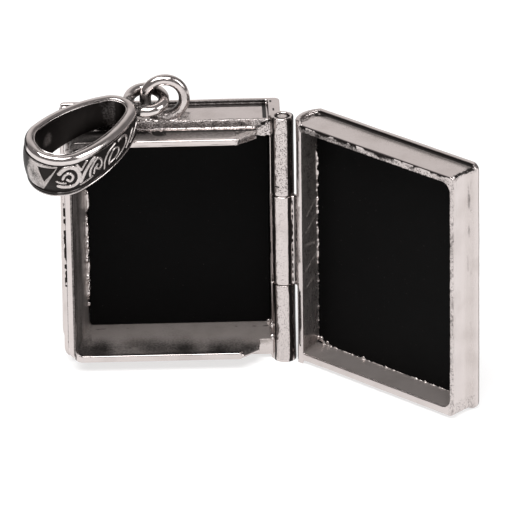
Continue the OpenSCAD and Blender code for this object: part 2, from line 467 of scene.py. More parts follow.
def make_camera():
    """The photograph's view: from slightly above, through a long lens."""
    azimuth, elevation, roll = (math.radians(a) for a in CAMERA_TURNS)
    back = Vector((
        -math.sin(azimuth) * math.cos(elevation),
        -math.cos(azimuth) * math.cos(elevation),
        math.sin(elevation),
    ))
    data = bpy.data.cameras.new("camera")
    data.sensor_width = SENSOR_WIDTH
    data.lens = FOCAL_PIXELS / WIDTH_PIXELS * SENSOR_WIDTH
    data.clip_start, data.clip_end = 0.05, 20.0
    camera = new_object("camera", data)
    turn = (-back).to_track_quat("-Z", "Y").to_matrix() @ Matrix.Rotation(roll, 3, "Z")
    place = Vector(CAMERA_AIM) * MM + back * CAMERA_DISTANCE
    camera.matrix_world = Matrix.Translation(place) @ turn.to_4x4()
    bpy.context.scene.camera = camera


def make_floor():
    bm = bmesh.new()
    bmesh.ops.create_grid(bm, x_segments=2, y_segments=2, size=FLOOR_HALF)
    floor = object_from(bm, "floor")
    floor.data.materials.append(paper("floor_paper"))


def area_light(name, place, size, power):
    """A soft light aimed at the object."""
    data = bpy.data.lights.new(name, "AREA")
    data.shape = "RECTANGLE"
    data.size, data.size_y = size
    data.energy = power
    light = new_object(name, data)
    light.location = place
    light.rotation_mode = "QUATERNION"
    light.rotation_quaternion = (LIGHT_AIM - Vector(place)).to_track_quat("-Z", "Y")


def make_light():
    """A grey room with a pale wall behind the object and two soft boxes."""
    world = bpy.data.worlds.new("studio")
    bpy.context.scene.world = world
    world.use_nodes = True
    nodes, links = world.node_tree.nodes, world.node_tree.links
    background = nodes["Background"]
    place = nodes.new("ShaderNodeTexCoord")
    facing = nodes.new("ShaderNodeVectorMath")
    facing.operation = "DOT_PRODUCT"
    facing.inputs[1].default_value = WALL_WAY
    wall = nodes.new("ShaderNodeMapRange")
    wall.interpolation_type = "SMOOTHSTEP"
    wall.inputs["From Min"].default_value, wall.inputs["From Max"].default_value = WALL_EDGE
    mix = nodes.new("ShaderNodeMix")
    mix.data_type = "RGBA"
    mix.inputs[6].default_value = ROOM_TONE
    mix.inputs[7].default_value = WALL_TONE
    links.new(place.outputs["Generated"], facing.inputs[0])
    links.new(facing.outputs["Value"], wall.inputs["Value"])
    links.new(wall.outputs[0], mix.inputs[0])
    links.new(mix.outputs[2], background.inputs[0])
    background.inputs[1].default_value = 1.0
    area_light("key", (-0.16, -0.36, 0.78), (0.85, 0.5), 9.5)
    area_light("fill", (0.60, -0.30, 0.42), (0.3, 0.5), 2.2)
    bpy.context.scene.view_settings.view_transform = "Standard"


# The two halves of the book

VOXEL = 0.12
SHELL_FACES = 190000  # triangles left in each half
FINE_POINTS = 50000  # vertices at the borders of the blackening, which the thinning spares

# Left side, bottom and top of the case's cover and of its lip, with the rounding of their corners
COVER_LEFT = -29.4
COVER_LOW_ROUND = 2.4
COVER_TOP_ROUND = 0.9
LIP_SIDES = (-28.55, 1.65, 33.35)
LIP_ROUND = 1.3

# The upright ring in the case's frame: its centre, its middle line's radius and its depth
RING_X = -15.25
RING_Z = 37.5
RING_RADIUS = 2.55
RING_DEPTH = 0.8

# Room of the case's lip in either half's frame, a little wider than the lip
LIP_LEFT = -28.58
LIP_FOOT = -3.42
LIP_LOW = 1.64
LIP_HIGH = 33.36
LIP_REACH = 3.84
LIP_CORNER = 2.0  # size of its round corners, which are left alone
LID_NEAR = -1.85  # the lid's end of its rim by the hinge
LID_RIM = 0.06  # least depth of the lid's rim


def wobble(points, out, rough):
    """Hand-made unevenness: long soft waves everywhere, lumps where the surface is rough."""
    waves = 0.030 * noise(points, 6.0, 1) + 0.012 * noise(points, 2.0, 2)
    lumps = rough * (0.075 * noise(points, 0.55, 3) + 0.045 * noise(points, 0.28, 4))
    return points + out * (waves + lumps)[:, None]


def worn_edge(points):
    """Draws the case's left cover edge in, most at its top."""
    x, _, z = points.T
    moved = points.copy()
    moved[:, 0] += smooth(-x, 29.0, 29.5) * (0.25 + 0.25 * z / COVER_HEIGHT)
    return moved


def rounded(points, left, edge, radius, way):
    """Bends the corner between a left side and a lower (way -1) or upper (way 1) edge to a round one."""
    moved = points.copy()
    dx = points[:, 0] - left - radius
    dz = (points[:, 2] - edge) * way + radius
    corner = (dx < 0) & (dz > 0)
    shrink = np.maximum(-dx, dz) / np.maximum(np.hypot(dx, dz), 1e-9)
    moved[corner, 0] += (dx * (shrink - 1))[corner]
    moved[corner, 2] += (dz * (shrink - 1))[corner] * way
    return moved


def round_corners(points):
    """Rounds the two corners of the case and of its lip away from the hinge."""
    outer = rounded(points, COVER_LEFT, 0.0, COVER_LOW_ROUND, -1)
    outer = rounded(outer, COVER_LEFT, COVER_HEIGHT, COVER_TOP_ROUND, 1)
    left, low, high = LIP_SIDES
    lip = rounded(rounded(points, left, low, LIP_ROUND, -1), left, high, LIP_ROUND, 1)
    on_lip = 1 - smooth(points[:, 1], -0.5, -0.1)
    return outer + (lip - outer) * on_lip[:, None]


def clear_of_lid(points):
    """Keeps the case's solder and waves out of the room that the closed lid takes."""
    x, y, z = points.T
    lifted = (x < LID_NEAR) & (y < 0)
    past_lip = np.maximum.reduce([LIP_LEFT - x, LIP_LOW - z, z - LIP_HIGH, x - LIP_FOOT])
    outside = lifted & (past_lip > 0)
    flat = outside & ((past_lip > -y) | (x > LIP_FOOT))
    moved = points.copy()
    moved[flat, 1] = 0
    beside = outside & ~flat
    moved[beside, 0] = np.maximum(x, LIP_LEFT)[beside]
    moved[beside, 2] = np.clip(z, LIP_LOW, LIP_HIGH)[beside]
    return moved


def clear_of_case(points):
    """Keeps the lid's solder and waves off the case's rim and out of the room that its lip takes."""
    x, y, z = points.T
    moved = points.copy()
    moved[:, 1] = np.where(x < LID_NEAR, np.maximum(y, LID_RIM), y)
    depth = np.stack([x - LIP_LEFT, z - LIP_LOW, LIP_HIGH - z, LIP_REACH - y], axis=1)
    at_corner = (x < LIP_LEFT + LIP_CORNER) & (np.minimum(depth[:, 1], depth[:, 2]) < LIP_CORNER)
    inside = (depth.min(axis=1) > 0) & (x < LIP_FOOT) & ~at_corner
    nearest = depth.argmin(axis=1)
    for side, axis, place in ((0, 0, LIP_LEFT), (1, 2, LIP_LOW), (2, 2, LIP_HIGH), (3, 1, LIP_REACH)):
        moved[inside & (nearest == side), axis] = place
    return moved


# Lines of solder beads on the case: start, end, number, size, wander and stretch of the beads
CASE_BEADS = (
    # Along the inner left wall
    ((-25.85, 4.35, 6.5), (-25.8, 4.35, 25.0), 24, 0.30, (0.10, 0.10, 0.2), (1, 1.8, 2.2)),
    # Both edges of the top wall's rim
    ((-27.5, 0.08, 34.36), (-3.2, 0.08, 34.34), 90, 0.12, (0.08, 0.04, 0.06)),
    ((-27.5, -0.12, 33.4), (-3.2, -0.12, 33.38), 90, 0.08, (0.1, 0.06, 0.03)),
    # Both sides of the upright ring's foot
    ((-13.9, 0.9, 34.5), (-12.3, 2.3, 34.5), 14, 0.24, (0.3, 0.5, 0.03)),
    ((-21.0, 0.1, 34.45), (-17.0, 0.6, 34.45), 20, 0.25, (0.3, 0.3, 0.05)),
    # Bevelled end of the lip and the corner between it and the upper knuckle
    ((-6.3, -3.7, 33.2), (-3.4, -1.3, 33.3), 22, 0.17, (0.1, 0.1, 0.1)),
    ((-3.9, -1.4, 33.2), (-1.6, 0.1, 33.9), 16, 0.15, (0.1, 0.1, 0.15)),
)
# Single lumps on the case: centre and radii
CASE_LUMPS = (
    # Along the inner left wall
    ((-25.9, 4.1, 8.3), (0.45, 0.62, 0.8)), ((-25.75, 4.4, 12.2), (0.32, 0.5, 1.2)),
    ((-25.9, 4.2, 17.6), (0.42, 0.55, 1.0)), ((-25.7, 4.3, 21.4), (0.36, 0.5, 1.3)),
    # Upper and lower corner by the hinge
    ((-3.75, -0.6, 32.5), (0.38, 0.5, 0.5)), ((-2.6, 0.2, 32.4), (0.7, 0.3, 0.45)),
    ((-1.7, -0.1, 3.1), (0.35, 0.35, 0.45)), ((-1.75, 0.0, 4.8), (0.25, 0.3, 0.4)),
    ((-5.6, -3.6, 2.1), (0.2, 0.2, 0.2)), ((-2.0, 4.7, 3.3), (0.3, 0.35, 0.35)),
)
# The same for the lid
LID_BEADS = (
    # Feet of the inner spine wall and of the inner bottom wall
    ((-2.5, 3.95, 13.0), (-2.5, 3.95, 30.5), 34, 0.24, (0.10, 0.1, 0.2), (1, 1, 1.6)),
    ((-2.5, 4.05, 2.5), (-2.5, 4.05, 12.0), 16, 0.16, (0.06, 0.08, 0.1)),
    ((-2.7, 4.15, 1.75), (-28.0, 4.15, 1.75), 70, 0.15, (0.1, 0.1, 0.1)),
    # Ends of the top wall and the rim beside the upper knuckle
    ((-29.2, 0.6, 34.4), (-29.2, 4.2, 34.45), 20, 0.15, (0.12, 0.1, 0.08)),
    ((-2.6, 0.7, 34.5), (-2.5, 4.2, 34.55), 22, 0.13, (0.06, 0.1, 0.05)),
    ((-4.2, 4.45, 34.5), (-2.4, 4.4, 34.6), 8, 0.13, (0.1, 0.05, 0.05)),
    ((-2.7, 0.15, 24.5), (-2.7, 0.15, 33.5), 18, 0.10, (0.03, 0.03, 0.1)),
)
LID_LUMPS = (((-3.0, 3.9, 2.3), (0.4, 0.3, 0.4)), ((-4.0, 4.1, 2.0), (0.3, 0.25, 0.3)))

# Bright scratches on the lid's inner spine wall, as (depth, height) of their ends
SCRATCHES = (
    ((3.6, 22.6), (1.4, 21.0)),
    ((3.9, 20.6), (1.2, 18.6)),
    ((3.3, 16.4), (1.2, 16.9)),
    ((3.4, 14.6), (1.0, 13.2)),
    ((3.1, 11.6), (1.3, 10.8)),
)


def on_spine_wall(depth, height):
    """A point on the lid's inner spine wall, which leans towards the hinge."""
    return (-3.22 + 0.2 * depth, depth, height)


def solder_lumps(rng, lines, lumps):
    """Beads strewn along lines, and single lumps."""
    return [bead for line in lines for bead in bead_line(rng, *line)] + list(lumps)


def lid_solder(rng):
    """Solder on the lid, and the raised scratches on its inner spine wall."""
    scratches = [(on_spine_wall(*a), on_spine_wall(*b), 16, 0.11, 0.01) for a, b in SCRATCHES]
    return solder_lumps(rng, [*LID_BEADS, *scratches], LID_LUMPS)


def strongest(*layers):
    """The highest of several masks at each vertex."""
    return np.maximum.reduce(layers)


def seam(points, start, end, width):
    """1 along a straight line and 0 beyond its half width."""
    start, end = np.array(start), np.array(end)
    along = end - start
    t = np.clip(((points - start) @ along) / (along @ along), 0, 1)
    away = np.linalg.norm(points - start - t[:, None] * along, axis=1)
    return 1 - smooth(away, width * 0.6, width)


def knuckle_bands(x, y, points):
    """Dark stripes of painted reflection along the hinge tube, by the direction in which its surface faces
    at rest.
    """
    turn = np.degrees(np.arctan2(x, -y)) + 3 * noise(points, 1.5, 31)
    radius = np.hypot(x, y)
    tube = smooth(radius, 1.2, 1.35) * (1 - smooth(radius, 1.7, 1.85))
    right = smooth(turn, 20, 25) * (1 - smooth(turn, 43, 47))
    edge = smooth(turn, 53, 59) * (1 - smooth(turn, 130, 140))
    left = smooth(turn, -66, -60) * (1 - smooth(turn, -50, -44))
    return tube * strongest(0.98 * right, 0.88 * edge, 0.75 * left)


def middle_knuckle(z):
    """1 at the height of the lid's knuckle and 0 at the height of the case's two."""
    return smooth(z, 11.1, 11.4) * (1 - smooth(z, 23.6, 23.9))


def in_recesses(recess):
    return 0.42 * smooth(recess, 0.01, 0.07)


def on_ring(p):
    """1 on the upright ring's wire above the top wall, and 0 elsewhere."""
    x, y, z = p.T
    from_wire = np.hypot(np.hypot(x - RING_X, z - RING_Z) - RING_RADIUS, y - RING_DEPTH)
    return (1 - smooth(from_wire, 0.85, 1.0)) * smooth(z, 34.5, 34.8)


def ring_dark(p, broken):
    """Painted shade and dark reflections on the upright ring: inside its hole, behind, on its left and on
    its right.
    """
    x, y, z = p.T
    from_centre = np.hypot(x - RING_X, z - RING_Z)
    return on_ring(p) * strongest(
        0.62 * (1 - smooth(from_centre, 1.9, 2.3)),
        0.6 * smooth(y, 1.15, 1.4),
        0.55 * smooth(-x, 15.4, 16.4) * (1 - smooth(z, 38.0, 39.2)),
        0.5 * smooth(x, -13.9, -13.1) * (0.6 + 0.4 * broken),
    )


def case_top_dark(p, broken):
    """Blackening of the case's top wall and of its rim, with painted shade on the cover's edge above it, by
    the spine and under the bail.
    """
    return strongest(
        # Cover's inner edge and front face in painted shade, the line under it, and painted shade on the
        # small wall face by the spine wall
        0.66 * zone(p, (-26.6, 4.55, 34.1), (-2.2, 5.46, 35.15), 0.12),
        0.95 * zone(p, (-27.2, 4.22, 34.1), (-2.2, 4.5, 34.7), 0.07),
        0.8 * zone(p, (-2.58, 0.3, 34.1), (-1.98, 5.4, 35.15), 0.1),
        # Rim, the corner under the bail in painted shade and reflection, round the ring's foot and the end
        # by the spine
        0.62 * zone(p, (-28.6, -0.1, 33.5), (-1.8, 0.15, 34.3), 0.1) * (0.5 + 0.5 * broken),
        0.8 * zone(p, (-28.7, -4.6, 28.0), (-21.4, 4.6, 36.0), 1.2) * (0.75 + 0.25 * broken),
        0.64 * zone(p, (-19.5, 1.0, 34.0), (-10.2, 4.9, 34.7), 0.9) * (0.5 + 0.5 * broken),
        0.5 * zone(p, (-4.2, 0.7, 34.1), (-2.5, 4.3, 34.7), 0.5) * (0.7 + 0.3 * broken),
        # Two pits in the top of the spine wall
        0.95 * seam(p, (-1.4, 4.9, 35.0), (-1.4, 4.5, 35.0), 0.18),
        0.95 * seam(p, (-1.1, 2.3, 35.0), (-1.05, 1.7, 35.0), 0.16),
    )


def lip_dark(p, broken):
    """Blackening of the lip and of the line at its foot."""
    spotted = smooth(noise(p, 0.5, 24), -0.5, 0.1)
    bevel = seam(p, (-6.3, -3.7, 33.2), (-3.6, -1.4, 33.3), 0.9)
    upper_face = (0.62 - 0.1 * smooth(-p[:, 1], 1.0, 3.3)) * (1 - bevel)
    return strongest(
        # Line at its foot, upper face and front edge, along the top
        0.98 * zone(p, (-28.6, -1.1, 33.1), (-3.2, -0.5, 33.5), 0.1),
        upper_face * zone(p, (-28.6, -3.3, 33.1), (-3.6, -1.0, 33.6), 0.15),
        0.75 * zone(p, (-28.0, -4.0, 32.66), (-4.0, -3.6, 32.8), 0.05) * (0.5 + 0.5 * broken),
        # Line at its foot and inner front edge, on the left
        0.9 * zone(p, (-28.9, -0.3, 11.0), (-28.55, 0.3, 29.0), 0.08) * spotted,
        0.6 * zone(p, (-28.75, -0.3, 2.0), (-28.5, 0.3, 33.0), 0.08),
        0.6 * zone(p, (-27.95, -3.9, 1.8), (-27.6, -3.2, 33.0), 0.06),
    )


def case_inner_dark(p):
    """Blackening of the case's inner left and bottom walls and of the line at the bottom wall's foot."""
    x, y, _ = p.T
    streaky = noise(p * (1, 1, 0.15), 0.7, 25)
    clouded = noise(p, 2.2, 26)
    spotted = smooth(noise(p, 0.8, 28), -0.2, 0.6)
    left = 0.58 - 0.13 * smooth(y, 0.3, 2.2) + 0.08 * streaky
    bottom = 0.62 - 0.26 * smooth(y + 0.05 * (x + 27), -1.5, 3.0) + 0.09 * clouded
    return strongest(
        left * zone(p, (-27.8, -3.3, 2.4), (-25.4, 5.4, 33.0), 0.2),
        bottom * zone(p, (-27.5, -3.5, 1.8), (-1.8, 5.4, 3.5), 0.2),
        0.6 * zone(p, (-27.0, 3.45, 2.0), (-1.9, 3.95, 3.4), 0.15) * spotted,
    )


def case_hinge_dark(p, broken):
    """Painted reflection stripes on the case's knuckles, and blackening of the spine wall behind them and
    of the corner beside them.
    """
    x, y, z = p.T
    return strongest(
        # Painted reflection stripes on the two knuckles
        (1 - middle_knuckle(z)) * knuckle_bands(x, y, p),
        0.8 * zone(p, (-0.45, 0.2, 0.5), (0.4, 5.0, 34.5), 0.15),
        # Solder at the upper corner, the crack through it and a nick in the knuckle
        0.55 * zone(p, (-3.5, -0.9, 33.2), (-1.5, 0.2, 34.2), 0.2) * (0.3 + 0.7 * broken),
        0.95 * seam(p, (-3.3, 0.0, 33.5), (-1.6, 0.0, 34.35), 0.2),
        0.7 * zone(p, (-1.1, -1.7, 25.15), (-0.45, -1.0, 25.5), 0.06),
    )


def case_rough(p, broken):
    """Pitted and cast-rough places on the case."""
    return strongest(
        # Rim of the top wall, foot of the ring and the ring's own lower end
        0.7 * zone(p, (-28.6, -0.4, 33.3), (-2.2, 0.3, 34.6), 0.12),
        zone(p, (-20.5, 0.2, 34.2), (-12.0, 2.4, 34.9), 0.6),
        0.7 * on_ring(p) * (1 - smooth(p[:, 2], 35.2, 36.4)),
        # Bevelled end of the lip and the solder between it and the knuckle
        0.8 * zone(p, (-6.4, -3.9, 32.3), (-1.6, -0.3, 33.6), 0.2),
        0.8 * zone(p, (-3.4, -1.2, 32.0), (-1.4, 0.3, 34.4), 0.2),
        # Fronts of the upper and of the lower knuckle
        0.65 * zone(p, (-0.9, -1.7, 24.3), (0.9, -0.9, 34.7), 0.25),
        0.35 * zone(p, (-1.2, -1.7, 0.2), (1.2, -0.9, 11.0), 0.25),
        # Solder along the inner left wall
        0.7 * zone(p, (-26.3, 4.2, 6.0), (-25.0, 5.4, 24.0), 0.2) * broken,
    )


def case_satin(p):
    """Dull places on the case: inner left wall, inner bottom wall, top wall and the lip's upper face."""
    return strongest(
        0.7 * zone(p, (-27.9, -3.3, 2.2), (-25.0, 5.4, 33.0), 0.2),
        1.0 * zone(p, (-27.5, -3.3, 2.2), (-1.8, 5.4, 3.4), 0.2),
        0.35 * zone(p, (-20.0, 0.3, 34.0), (-9.0, 4.8, 34.9), 0.8),
        0.7 * zone(p, (-28.6, -3.4, 33.1), (-3.6, -0.6, 33.6), 0.15),
    )


def case_masks(p, recess):
    """Blackened and painted-shade, rough and dull places on the case, with clean solder along the inner
    left wall.
    """
    broken = 0.5 + 0.5 * noise(p, 0.9, 21)
    dark = strongest(
        in_recesses(recess),
        case_top_dark(p, broken),
        lip_dark(p, broken),
        case_inner_dark(p),
        case_hinge_dark(p, broken),
        ring_dark(p, broken),
    )
    solder = zone(p, (-26.4, 3.5, 5.5), (-25.2, 5.3, 26.0), 0.1) * smooth(-recess, 0.004, 0.02)
    return dark * (1 - solder), case_rough(p, broken), case_satin(p) * (1 - solder)


def lid_inner_dark(p, broken, scratched):
    """Blackening of the lid's inner spine wall, mottled low down, and of the inner bottom wall's foot."""
    mottled = smooth(noise(p * (1, 1, 0.5), 0.7, 29), -0.1, 0.5) * (1 - smooth(p[:, 2], 10.0, 14.0))
    spine = (0.4 + 0.14 * broken - 0.3 * mottled) * (1 - scratched)
    return strongest(
        spine * zone(p, (-3.4, 0.3, 1.6), (-2.2, 4.2, 33.4), 0.2),
        0.45 * zone(p, (-28.6, 3.4, 1.4), (-2.6, 4.4, 2.2), 0.3) * broken,
    )


def lid_top_dark(p, broken, jagged):
    """Blackening of the lid's top wall and of its rim, with painted shade on the top wall growing darker
    towards the cover.
    """
    x, y, _ = p.T
    corner = smooth(y - 2.6 + 0.9 * (x + 2.5), 0.0, 0.5) * (0.5 + 0.5 * jagged)
    rim = (0.72 + 0.006 * x) * (0.35 + 0.65 * broken)
    return strongest(
        # Upper face in painted shade darkening towards the cover, the seam line under the cover with
        # painted shadow of its overhang, and the corner and the end by the spine wall
        0.54 * smooth(y, 1.2, 4.7) * zone(p, (-29.2, 1.0, 34.0), (-2.4, 4.6, 34.8), 0.12),
        0.9 * zone(p, (-29.2, 4.22, 34.0), (-2.4, 4.5, 34.95), 0.06),
        0.95 * corner * zone(p, (-4.4, 2.6, 34.1), (-2.4, 4.55, 34.8), 0.12),
        0.85 * seam(p, (-2.45, 0.5, 34.5), (-2.35, 4.3, 34.5), 0.3) * (0.35 + 0.65 * jagged),
        # Line above the rim, the rim, and the end by the fore-edge
        0.9 * zone(p, (-29.0, -0.2, 34.28), (-2.6, 0.25, 34.42), 0.05),
        rim * zone(p, (-29.0, -0.2, 33.4), (-2.6, 0.15, 34.2), 0.1),
        0.75 * zone(p, (-29.5, 0.6, 34.1), (-29.0, 4.4, 34.8), 0.12),
    )


def lid_fore_edge_dark(p, broken, jagged):
    """Blackening of the lid's fore-edge wall, of its rim and of the lines beside it, with painted shade
    along the cover's edge.
    """
    stained = smooth(noise(p * (1, 1, 0.4), 0.8, 27), -0.5, 0.3)
    return strongest(
        0.46 * zone(p, (-29.6, 3.4, 1.0), (-29.0, 4.2, 34.0), 0.3) * (0.5 + 0.5 * broken),
        # Painted shade along the cover's edge over the fore-edge
        0.85 * zone(p, (-29.9, 4.86, 0.6), (-29.2, 5.0, 34.6), 0.05),
        0.55 * zone(p, (-29.8, 0.5, 0.6), (-29.2, 0.68, 34.4), 0.06) * (0.4 + 0.6 * broken),
        0.58 * zone(p, (-29.9, 3.1, 20.0), (-29.0, 3.8, 34.0), 0.3) * stained,
        0.56 * zone(p, (-29.7, -0.1, 0.4), (-28.9, 0.35, 33.8), 0.08) * (0.5 + 0.5 * jagged),
    )


def lid_hinge_dark(p, jagged):
    """Painted reflection stripes on the lid's knuckle, and blackening of the lines on its strip and beside
    the case's knuckles.
    """
    x, y, z = p.T
    turned_x = -x * math.cos(LID_TURN) - y * math.sin(LID_TURN)
    turned_y = -x * math.sin(LID_TURN) + y * math.cos(LID_TURN)
    return strongest(
        # Painted reflection stripes on the lid's knuckle
        middle_knuckle(z) * knuckle_bands(turned_x, turned_y, p),
        0.95 * zone(p, (-1.66, -0.4, 11.5), (-1.5, 0.5, 23.6), 0.05) * (0.2 + 0.8 * jagged),
        0.92 * zone(p, (-2.78, -0.3, 24.0), (-2.5, 0.6, 33.9), 0.05),
        0.92 * zone(p, (-2.78, -0.3, 1.0), (-2.5, 0.6, 11.0), 0.05),
    )


def lid_rough(p, broken):
    """Pitted and cast-rough places on the lid."""
    return strongest(
        # Both ends of the top wall and its rim
        0.8 * zone(p, (-29.6, 0.2, 33.9), (-28.9, 4.6, 35.1), 0.2),
        0.6 * zone(p, (-2.9, 0.3, 34.3), (-1.8, 4.5, 35.1), 0.15),
        0.7 * zone(p, (-28.8, -0.1, 33.3), (-3.2, 0.12, 34.2), 0.12),
        # Inner spine wall and the foot of the inner bottom wall
        0.6 * zone(p, (-3.4, 0.2, 1.6), (-2.2, 3.6, 33.4), 0.2) * broken,
        0.5 * zone(p, (-28.6, 3.6, 1.5), (-2.6, 4.4, 2.2), 0.2),
        # Lower end of the fore-edge wall, its rim, and the front of the knuckle
        0.5 * zone(p, (-29.5, 0.2, 0.4), (-28.9, 4.6, 2.2), 0.3),
        0.45 * zone(p, (-29.7, -0.1, 0.4), (-28.7, 0.3, 34.0), 0.12),
        0.5 * zone(p, (-1.2, -1.7, 11.2), (1.6, -0.6, 23.8), 0.3) * broken,
    )


def lid_satin(p, scratched):
    """Dull places on the lid: inner spine wall, its scratches, bottom wall, fore-edge and top wall."""
    return strongest(
        0.5 * zone(p, (-3.4, 0.2, 1.5), (-2.2, 4.4, 33.5), 0.15),
        scratched,
        0.8 * zone(p, (-28.8, 0.2, 1.3), (-2.4, 4.4, 2.2), 0.15),
        0.4 * zone(p, (-29.7, 2.8, 0.5), (-29.0, 4.4, 34.2), 0.4),
        0.5 * smooth(p[:, 1], 1.0, 4.0) * zone(p, (-29.2, 1.0, 34.0), (-2.4, 4.6, 34.8), 0.12),
    )


def lid_masks(p, recess):
    """Blackened and painted-shade, rough and dull places on the lid, with clean solder along the inner
    spine wall.
    """
    broken = 0.5 + 0.5 * noise(p, 0.9, 22)
    jagged = 0.5 + 0.5 * noise(p, 0.35, 23)
    scratched = strongest(*(seam(p, on_spine_wall(*a), on_spine_wall(*b), 0.22) for a, b in SCRATCHES))
    dark = strongest(
        in_recesses(recess),
        lid_inner_dark(p, broken, scratched),
        lid_top_dark(p, broken, jagged),
        lid_fore_edge_dark(p, broken, jagged),
        lid_hinge_dark(p, jagged),
    )
    solder = zone(p, (-3.1, 3.3, 12.0), (-2.0, 4.5, 31.0), 0.1) * smooth(-recess, 0.008, 0.03)
    return dark * (1 - solder), lid_rough(p, broken), lid_satin(p, scratched) * (1 - solder)


def make_shell(node, frame, name, lumps, masks, material, body):
    """One half of the book: the CAD solid with solder, softened edges, hand-made waves, blackening and
    painted shade.
    """
    obj = node_copy(node, frame, name)
    add_lumps(obj, lumps)
    melt(obj, VOXEL * (1), 2)
    co = coordinates(obj.data)
    recess = hollowness(obj.data, 12)
    layers = masks(co, recess)
    shaped = wobble(co, normals(obj.data), layers[1])
    if body == "case":
        shaped = clear_of_lid(round_corners(worn_edge(shaped)))
    else:
        shaped = clear_of_case(shaped)
    set_coordinates(obj.data, shaped)
    dense = coordinates(obj.data)
    thin(obj, SHELL_FACES, borders(obj.data, layers[0], FINE_POINTS))
    carried = carry_over(dense, np.stack(layers, axis=1), obj.data)
    set_masks(obj.data, *carried.T)
    finish_piece(obj, frame, node.name, material, body)


# The bail


def bail_frame():
    x, y, z = BAIL_TURNS
    turn = Matrix.Rotation(z, 4, "Z") @ Matrix.Rotation(y, 4, "Y") @ Matrix.Rotation(x, 4, "X")
    return Matrix.Translation(HINGE + LOOP_PLACE) @ turn


def band_path(count):
    """Points and outward directions along the middle of the band's wall, evenly spaced."""
    big_to_side = SIDE_ROUND - BIG_ROUND
    start = math.acos((ENDS_APART ** 2 + big_to_side ** 2 - (SIDE_ROUND - SMALL_ROUND) ** 2)
                      / (2 * ENDS_APART * big_to_side))
    centre = np.array([ENDS_APART, 0]) - big_to_side * np.array([math.cos(start), math.sin(start)])
    end = math.atan2(-centre[1], -centre[0])
    arcs = [
        (np.array([ENDS_APART, 0]), BIG_ROUND, 0.0, start),
        (centre, SIDE_ROUND, start, end),
        (np.array([0.0, 0.0]), SMALL_ROUND, end, math.pi),
    ]
    half = sum(radius * (b - a) for _, radius, a, b in arcs)
    points, outs, runs = [], [], []
    for i in range(count):
        run = 2 * half * i / count
        mirrored = run > half
        rest = 2 * half - run if mirrored else run
        for middle, radius, a, b in arcs:
            if rest <= radius * (b - a) + 1e-9:
                angle = a + rest / radius
                break
            rest -= radius * (b - a)
        out = np.array([math.cos(angle), math.sin(angle)])
        point = middle + radius * out
        if mirrored:
            point, out = point * (1, -1), out * (1, -1)
        points.append(point)
        outs.append(out)
        runs.append(run)
    return np.array(points), np.array(outs), np.array(runs), half


def half_height(x):
    far = ENDS_APART + BIG_ROUND
    return (BAIL_NARROW + (BAIL_BIG - BAIL_NARROW) * (x + SMALL_ROUND) / (far + SMALL_ROUND)) / 2


def curve(corners):
    """A smooth line through a few points."""
    points = np.array([corners[0], *corners, corners[-1]], float)
    line = []
    for a, b, c, d in zip(points, points[1:], points[2:], points[3:]):
        for t in np.linspace(0, 1, 6, endpoint=False):
            line.append(b + 0.5 * t * (c - a + t * (2 * a - 5 * b + 4 * c - d + t * (3 * (b - c) + d - a))))
    return line + [points[-1]]


# One side's ornament, a plain traditional run of scrolls and leaves: half width of a stroke and its
# points. A point's first number runs along the band from the middle of its big end, in millimetres,
# and its second across it as a share of the band's half height.
STROKES = (
    (0.25, (3.0, 0.30), (3.5, 0.50), (4.15, 0.56), (4.85, 0.40), (5.2, 0.0), (4.9, -0.34), (4.2, -0.46),
     (3.4, -0.42), (2.9, -0.36)),
    (0.13, (3.35, 0.02), (3.6, 0.22), (4.1, 0.26), (4.45, 0.06), (4.15, -0.14), (3.8, -0.04)),
    (0.09, (2.7, -0.10), (3.1, -0.18), (3.6, -0.22)),
    (0.11, (4.95, 0.62), (5.45, 0.26)),
    (0.11, (5.45, 0.26), (5.9, 0.44), (6.45, 0.62)),
    (0.25, (5.35, -0.38), (5.9, 0.04), (6.7, 0.34), (7.6, 0.52)),
    (0.09, (5.3, -0.56), (6.2, -0.52), (7.1, -0.44)),
    (0.14, (6.7, -0.34), (6.75, 0.0), (7.3, 0.26), (8.0, 0.44), (8.55, 0.26), (8.6, -0.02), (8.2, -0.2),
     (7.75, -0.08)),
    (0.11, (7.3, -0.30), (7.45, -0.02), (7.9, 0.12)),
    (0.11, (9.1, -0.46), (9.15, 0.0), (9.9, 0.36), (11.3, 0.54)),
    (0.09, (9.9, -0.38), (10.0, -0.02), (10.8, 0.28), (11.6, 0.24), (11.8, -0.02), (11.0, -0.30),
     (9.9, -0.38)),
    (0.14, (12.0, 0.52), (12.9, 0.56), (13.6, 0.40), (13.4, 0.02), (12.5, -0.28), (11.4, -0.48)),
    (0.15, (13.6, -0.42), (14.3, 0.0), (15.3, 0.34)),
    (0.15, (14.6, -0.40), (15.6, 0.0), (16.6, 0.30)),
)
PLAIN_NEAR = 2.1  # how far from the middle of the big end the field is plain on the one side
PLAIN_SLANT = 1.3  # how much farther at the upper rim
PLAIN_FAR = 3.4  # and on the other
FAR_SHIFT = 0.7  # how much later the strokes begin there
TRIANGLE = ((0.55, 0.45), (2.75, 0.57), (1.3, -0.22))  # a cut triangle in the plain part


def in_triangle(points, corners):
    """1 inside a triangle whose corners run clockwise, 0 outside, with a soft border."""
    depth = np.full(len(points), 9.0)
    for a, b in zip(corners, corners[1:] + corners[:1]):
        along = (b - a) / np.linalg.norm(b - a)
        to = points - a
        depth = np.minimum(depth, to[:, 1] * -along[0] + to[:, 0] * along[1])
    return smooth(depth, -0.05, 0.05)


